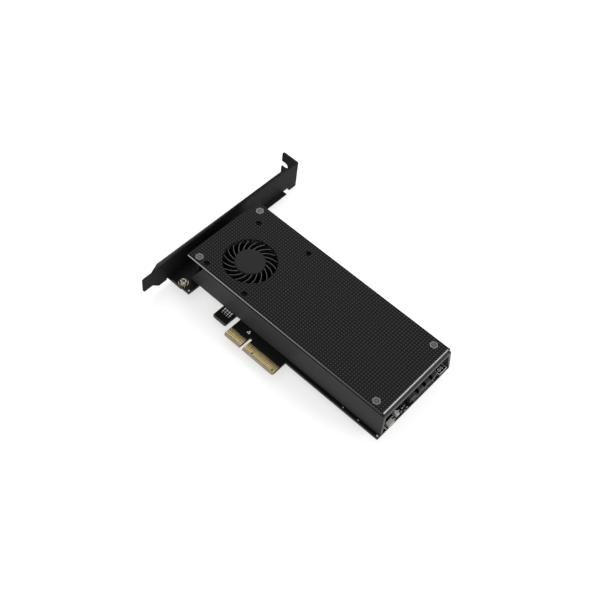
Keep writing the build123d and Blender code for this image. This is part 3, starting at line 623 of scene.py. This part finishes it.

# Cover standoffs: steel studs pressed in from above. Their shanks are painted near black as shade,
# and their hexagonal heads, flush with the plate, are faced bright and have a shallow turned ring
# each.
stud_tones = ((0.1, 0.1, 0.102), (0.132, 0.132, 0.134))
stud_steel, stud_shader = new_material(
    "turned_steel", (0.112, 0.112, 0.114), roughness=0.5, metallic=0.6
)
grain(stud_steel, stud_shader, stud_tones, scale=1300.0, bump=0.15, roughness=(0.42, 0.55))
head_half = 0.00223
ring_reach = 0.0023
ring_tones = ((0.0, 1.0), (0.3, 0.35), (0.5, 0.35), (0.76, 1.0))
stud_low, stud_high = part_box("cover_standoffs")
first_stud = Vector((stud_low.x + head_half, stud_low.y + head_half, 0))
stud_spacing = Vector((stud_high.x - head_half, stud_high.y - head_half, 1)) - first_stud
one_stud = add_node(
    stud_steel,
    "ShaderNodeVectorMath",
    {1: first_stud + stud_spacing / 2, 2: first_stud - stud_spacing / 2},
    operation="WRAP",
)
link(stud_steel, object_position(stud_steel, (1, 1, 0)), one_stud.inputs[0])
from_middle = add_node(stud_steel, "ShaderNodeVectorMath", {1: first_stud}, operation="DISTANCE")
link(stud_steel, one_stud.outputs["Vector"], from_middle.inputs[0])
outwards = add_node(stud_steel, "ShaderNodeMapRange", {"From Max": ring_reach})
link(stud_steel, from_middle.outputs["Value"], outwards.inputs["Value"])
turned_ring = add_node(stud_steel, "ShaderNodeValToRGB")
while len(turned_ring.color_ramp.elements) < len(ring_tones):
    turned_ring.color_ramp.elements.new(0.5)
for stop, (place, tone) in zip(turned_ring.color_ramp.elements, ring_tones):
    stop.position = place
    stop.color = (tone, tone, tone, 1)
link(stud_steel, outwards.outputs["Result"], turned_ring.inputs["Fac"])
ringed = add_node(stud_steel, "ShaderNodeMixRGB", {"Fac": 1.0}, blend_type="MULTIPLY")
link(stud_steel, colour_so_far(stud_shader), ringed.inputs["Color1"])
link(stud_steel, turned_ring.outputs["Color"], ringed.inputs["Color2"])
link(stud_steel, ringed.outputs["Color"], stud_shader.inputs["Base Color"])
shank_shade_tones = ((0.007, 0.007, 0.0075), (0.014, 0.014, 0.0145))
shank_shade, shank_shade_shader = new_material(
    "shank_painted_shade", (0.01, 0.01, 0.0105), roughness=0.5, metallic=0.3, specular=0.2
)
grain(shank_shade, shank_shade_shader, shank_shade_tones, scale=1600.0, bump=0.15)
# Painted shade: the shanks below the plate go near black.
shank_top = cover_high.z - 1.25
cover_standoffs = dress("cover_standoffs", stud_steel, shank_shade)
paint(cover_standoffs, shank_shade, lambda centre, normal: centre.z < shank_top)

# Cover and fan screws: small steel screws. The cover's, from the solder side, have black zinc
# plate, slightly worn; the fan's are sunk in the plate and are painted the same near-black shade
# as their holes.
zinc_tones = ((0.008, 0.008, 0.009), (0.02, 0.02, 0.021))
black_zinc, zinc_shader = new_material(
    "black_zinc", (0.012, 0.012, 0.013), roughness=0.38, metallic=0.4
)
grain(black_zinc, zinc_shader, zinc_tones, scale=1800.0, bump=0.12, roughness=(0.3, 0.45))
dress("cover_screws", black_zinc)
# Painted shade: the fan's screws get the near-black shade of their holes.
dress("fan_screws", painted_shade_black)

# Fan: the housing and the rotor are moulded in black plastic, the housing darker than the rotor.
# The hub's face is fine satin, and each blade's upward face near the top is painted lighter as a
# highlight.
housing_tones = ((0.006, 0.006, 0.0065), (0.011, 0.011, 0.0115))
housing_black, housing_shader = new_material(
    "housing_plastic", (0.008, 0.008, 0.0085), roughness=0.55, specular=0.3
)
grain(housing_black, housing_shader, housing_tones, scale=1600.0, bump=0.15, roughness=(0.48, 0.62))
rotor_tones = ((0.009, 0.009, 0.0093), (0.014, 0.014, 0.0143))
rotor_black, rotor_shader = new_material(
    "rotor_plastic", (0.0115, 0.0115, 0.0118), roughness=0.5, specular=0.1
)
grain(rotor_black, rotor_shader, rotor_tones, scale=1100.0, bump=0.1, roughness=(0.44, 0.56))
blade_highlight_tones = ((0.028, 0.028, 0.029), (0.043, 0.043, 0.044))
blade_highlight, blade_highlight_shader = new_material(
    "blade_highlight", (0.035, 0.035, 0.036), roughness=0.42, specular=0.25
)
grain(blade_highlight, blade_highlight_shader, blade_highlight_tones, scale=900.0, bump=0.08, roughness=(0.3, 0.42))
blade_low, blade_high = fan_high.z - 1.2, fan_high.z - 0.3
dress("fan_housing", housing_black)
fan_rotor = dress("fan_rotor", rotor_black, blade_highlight)
# Painted highlight: the blades' upward faces near the top are lighter.
paint(
    fan_rotor,
    blade_highlight,
    lambda centre, normal: normal.z > square_on and blade_low < centre.z < blade_high,
)

# Fan motor: a ferrite ring in the hub, a sintered sleeve, a ground pin, a laminated core with
# enamelled copper coils, and a small driver board round the tube.
ferrite_tones = ((0.04, 0.038, 0.036), (0.065, 0.062, 0.06))
ferrite, ferrite_shader = new_material("ferrite", (0.05, 0.048, 0.046), roughness=0.7)
grain(ferrite, ferrite_shader, ferrite_tones, scale=2200.0, bump=0.3)
dress("rotor_magnet", ferrite)
steel_tones = ((0.38, 0.38, 0.39), (0.52, 0.52, 0.53))
steel, steel_shader = new_material("plain_steel", (0.45, 0.45, 0.46), roughness=0.3, metallic=1.0)
grain(
    steel,
    steel_shader,
    steel_tones,
    scale=1200.0,
    bump=0.1,
    roughness=(0.24, 0.38),
    stretch=(0.3, 0.3, 6),
)
dress("rotor_shaft", steel)
dress("stator_core", steel)
bronze_tones = ((0.42, 0.26, 0.12), (0.58, 0.38, 0.2))
bronze, bronze_shader = new_material(
    "sintered_bronze", (0.5, 0.32, 0.16), roughness=0.45, metallic=1.0
)
grain(bronze, bronze_shader, bronze_tones, scale=3000.0, bump=0.4)
dress("fan_bearing", bronze)
winding_tones = ((0.45, 0.15, 0.05), (0.65, 0.26, 0.1))
copper, winding_shader = new_material(
    "enamelled_copper", (0.55, 0.2, 0.07), roughness=0.35, metallic=1.0
)
grain(copper, winding_shader, winding_tones, scale=500.0, bump=0.5, stretch=(0.3, 0.3, 9))
dress("stator_coils", copper)
dress("fan_circuit_board", mask_black)

# Drive bay: a black moulded socket with tinned solder tails, a tinned brass standoff, and over
# the drive's place a bare aluminium comb with a soft blue-grey silicone pad.
socket_tones = ((0.041, 0.041, 0.044), (0.052, 0.052, 0.055))
socket_black, socket_shader = new_material(
    "socket_plastic", (0.046, 0.046, 0.049), roughness=0.5, specular=0.12
)
grain(socket_black, socket_shader, socket_tones, scale=1500.0, bump=0.15)
socket_low, socket_high = (corner * 1000 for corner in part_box("drive_socket"))
pocket_start = socket_low.x + 6
pocket_end = socket_high.x - 0.05
pocket_floor = 1.9
pocket_top = socket_high.z - 0.05
drive_socket = dress("drive_socket", socket_black, painted_shade_black)
# Painted shade: the socket's pockets go near black.
paint(
    drive_socket,
    painted_shade_black,
    lambda centre, normal: pocket_start < centre.x < pocket_end
    and pocket_floor < centre.z < pocket_top,
)
tin_tones = ((0.34, 0.34, 0.33), (0.52, 0.52, 0.51))
tin, tin_shader = new_material("tin_plate", (0.42, 0.42, 0.41), roughness=0.4, metallic=1.0)
grain(tin, tin_shader, tin_tones, scale=1500.0, bump=0.15, roughness=(0.34, 0.5))
for plated in ("socket_contacts", "drive_standoff", "fan_connector_pins"):
    dress(plated, tin)
sink_tones = ((0.34, 0.34, 0.35), (0.47, 0.47, 0.48))
bare_aluminium, sink_shader = new_material(
    "bare_aluminium", (0.4, 0.4, 0.41), roughness=0.38, metallic=1.0
)
grain(
    bare_aluminium,
    sink_shader,
    sink_tones,
    scale=700.0,
    bump=0.12,
    roughness=(0.32, 0.46),
    stretch=(0.1, 2, 2),
)
dress("drive_heat_sink", bare_aluminium)
silicone, pad_shader = new_material("silicone_pad", (0.2, 0.3, 0.4), roughness=0.7)
grain(silicone, pad_shader, ((0.17, 0.26, 0.35), (0.24, 0.34, 0.44)), scale=900.0, bump=0.3)
dress("thermal_pad", silicone)

# Small parts: white mouldings for the lamp and the fan's connector, a pale pressed inductor,
# black epoxy chips and brown ceramic capacitors, all soldered to the board by their ends. The
# lead holes' rings and the two corner discs are bare copper, tinned with the same solder.
white_moulding, white_shader = new_material("white_moulding", (0.42, 0.41, 0.395), roughness=0.4)
grain(
    white_moulding, white_shader, ((0.37, 0.36, 0.345), (0.47, 0.46, 0.445)), scale=1200.0, bump=0.1
)
dress("fan_connector", white_moulding)
dress("status_lamp", white_moulding)
iron_grey, iron_shader = new_material("pressed_iron", (0.42, 0.42, 0.41), roughness=0.6)
grain(iron_grey, iron_shader, ((0.36, 0.36, 0.35), (0.5, 0.5, 0.49)), scale=2600.0, bump=0.35)
dress("power_inductor", iron_grey)
chip_black, chip_shader = new_material("chip_epoxy", (0.012, 0.012, 0.012), roughness=0.6)
grain(
    chip_black, chip_shader, ((0.009, 0.009, 0.009), (0.018, 0.018, 0.018)), scale=3000.0, bump=0.3
)
dress("regulator_chip", chip_black)
dress("chip_resistors", chip_black)
ceramic, ceramic_shader = new_material("capacitor_ceramic", (0.3, 0.24, 0.17), roughness=0.5)
grain(ceramic, ceramic_shader, ((0.25, 0.2, 0.14), (0.36, 0.29, 0.21)), scale=1800.0, bump=0.15)
dress("chip_capacitors", ceramic)
dress("coupling_capacitors", ceramic)
for soldered in ("lead_rings", "fiducial_marks", "chip_ends"):
    dress(soldered, solder)


# Stage: a wide pale floor just under the card, clear from below. To the camera and in reflections
# it also glows, which makes it white like the world behind it and leaves the card's soft shadow.
def direct_rays(owner):
    """1 for what the camera sees, also in a reflection or through glass, and 0 for other light."""
    rays = add_node(owner, "ShaderNodeLightPath")
    result = rays.outputs["Is Camera Ray"]
    for kind in ("Is Glossy Ray", "Is Transmission Ray"):
        either = add_node(owner, "ShaderNodeMath", operation="MAXIMUM")
        link(owner, result, either.inputs[0])
        link(owner, rays.outputs[kind], either.inputs[1])
        result = either.outputs[0]
    return result


floor_size = 4.0
floor_gap = 0.0001
floor_glow = 0.6
floor_height = cad_box[0].z - floor_gap
bpy.ops.mesh.primitive_plane_add(size=floor_size, location=(0, 0, floor_height))
floor = bpy.context.object
floor.name = "floor"
floor.data.transform(floor.matrix_world)
floor.matrix_world = Matrix.Identity(4)
floor_white, floor_shader = new_material(
    "floor_white", (0.55, 0.55, 0.55), roughness=0.9, specular=0.0
)
floor_out = floor_white.node_tree.nodes["Material Output"]
glow = add_node(floor_white, "ShaderNodeEmission", {"Color": (1, 1, 1, 1), "Strength": floor_glow})
both = add_node(floor_white, "ShaderNodeAddShader")
pick = add_node(floor_white, "ShaderNodeMixShader")
link(floor_white, floor_shader.outputs["BSDF"], both.inputs[0])
link(floor_white, glow.outputs["Emission"], both.inputs[1])
link(floor_white, direct_rays(floor_white), pick.inputs["Fac"])
link(floor_white, floor_shader.outputs["BSDF"], pick.inputs[1])
link(floor_white, both.outputs["Shader"], pick.inputs[2])
sides = add_node(floor_white, "ShaderNodeNewGeometry")
clear = add_node(floor_white, "ShaderNodeBsdfTransparent")
one_sided = add_node(floor_white, "ShaderNodeMixShader")
link(floor_white, sides.outputs["Backfacing"], one_sided.inputs["Fac"])
link(floor_white, pick.outputs["Shader"], one_sided.inputs[1])
link(floor_white, clear.outputs["BSDF"], one_sided.inputs[2])
link(floor_white, one_sided.outputs["Shader"], floor_out.inputs["Surface"])
floor.data.materials.append(floor_white)

# Light: a plain surround, white where it is seen, and two broad lamps, one high behind the card
# and one low by its free end.
world = bpy.data.worlds.new("surround")
bpy.context.scene.world = world
world.use_nodes = True
sky = world.node_tree.nodes["Background"]
sky.inputs["Color"].default_value = (1, 1, 1, 1)
sky_light = 0.72
sky_seen = 1.0
sky_level = add_node(world, "ShaderNodeMapRange", {"To Min": sky_light, "To Max": sky_seen})
link(world, direct_rays(world), sky_level.inputs["Value"])
link(world, sky_level.outputs["Result"], sky.inputs["Strength"])


def lamp(name, place, target, size, power):
    """A square area lamp that looks at a point."""
    data = bpy.data.lights.new(name, "AREA")
    data.shape = "SQUARE"
    data.size = size
    data.energy = power
    piece = bpy.data.objects.new(name, data)
    bpy.context.scene.collection.objects.link(piece)
    piece.location = place
    piece.rotation_euler = (Vector(target) - Vector(place)).to_track_quat("-Z", "Y").to_euler()


lamp_target = (0, 0.03, 0)
lamp("back_lamp", (-0.25, 0.45, 0.55), lamp_target, size=0.4, power=1.7)
lamp("end_lamp", (0.65, 0.25, 0.2), lamp_target, size=0.3, power=3.0)

# Camera: at the photograph's angle. Its place and lens were found from the card's known sizes,
# the contacts' pitch, the key notch and the bracket.
camera_data = bpy.data.cameras.new("camera")
camera_data.sensor_width = 36.0
camera_data.lens = 58.20
camera_data.clip_start = 0.01
camera = bpy.data.objects.new("camera", camera_data)
bpy.context.scene.collection.objects.link(camera)
camera_right = Vector((0.7363, 0.6708, 0.0889))
camera_down = Vector((0.5873, -0.5682, -0.5764))
camera_view = Vector((-0.3362, 0.4765, -0.8124))
camera_place = Vector((0.17471, -0.20202, 0.41949))
camera.matrix_world = Matrix(
    (
        (camera_right.x, -camera_down.x, -camera_view.x, camera_place.x),
        (camera_right.y, -camera_down.y, -camera_view.y, camera_place.y),
        (camera_right.z, -camera_down.z, -camera_view.z, camera_place.z),
        (0, 0, 0, 1),
    )
)
bpy.context.scene.camera = camera
bpy.context.scene.view_settings.view_transform = "Standard"
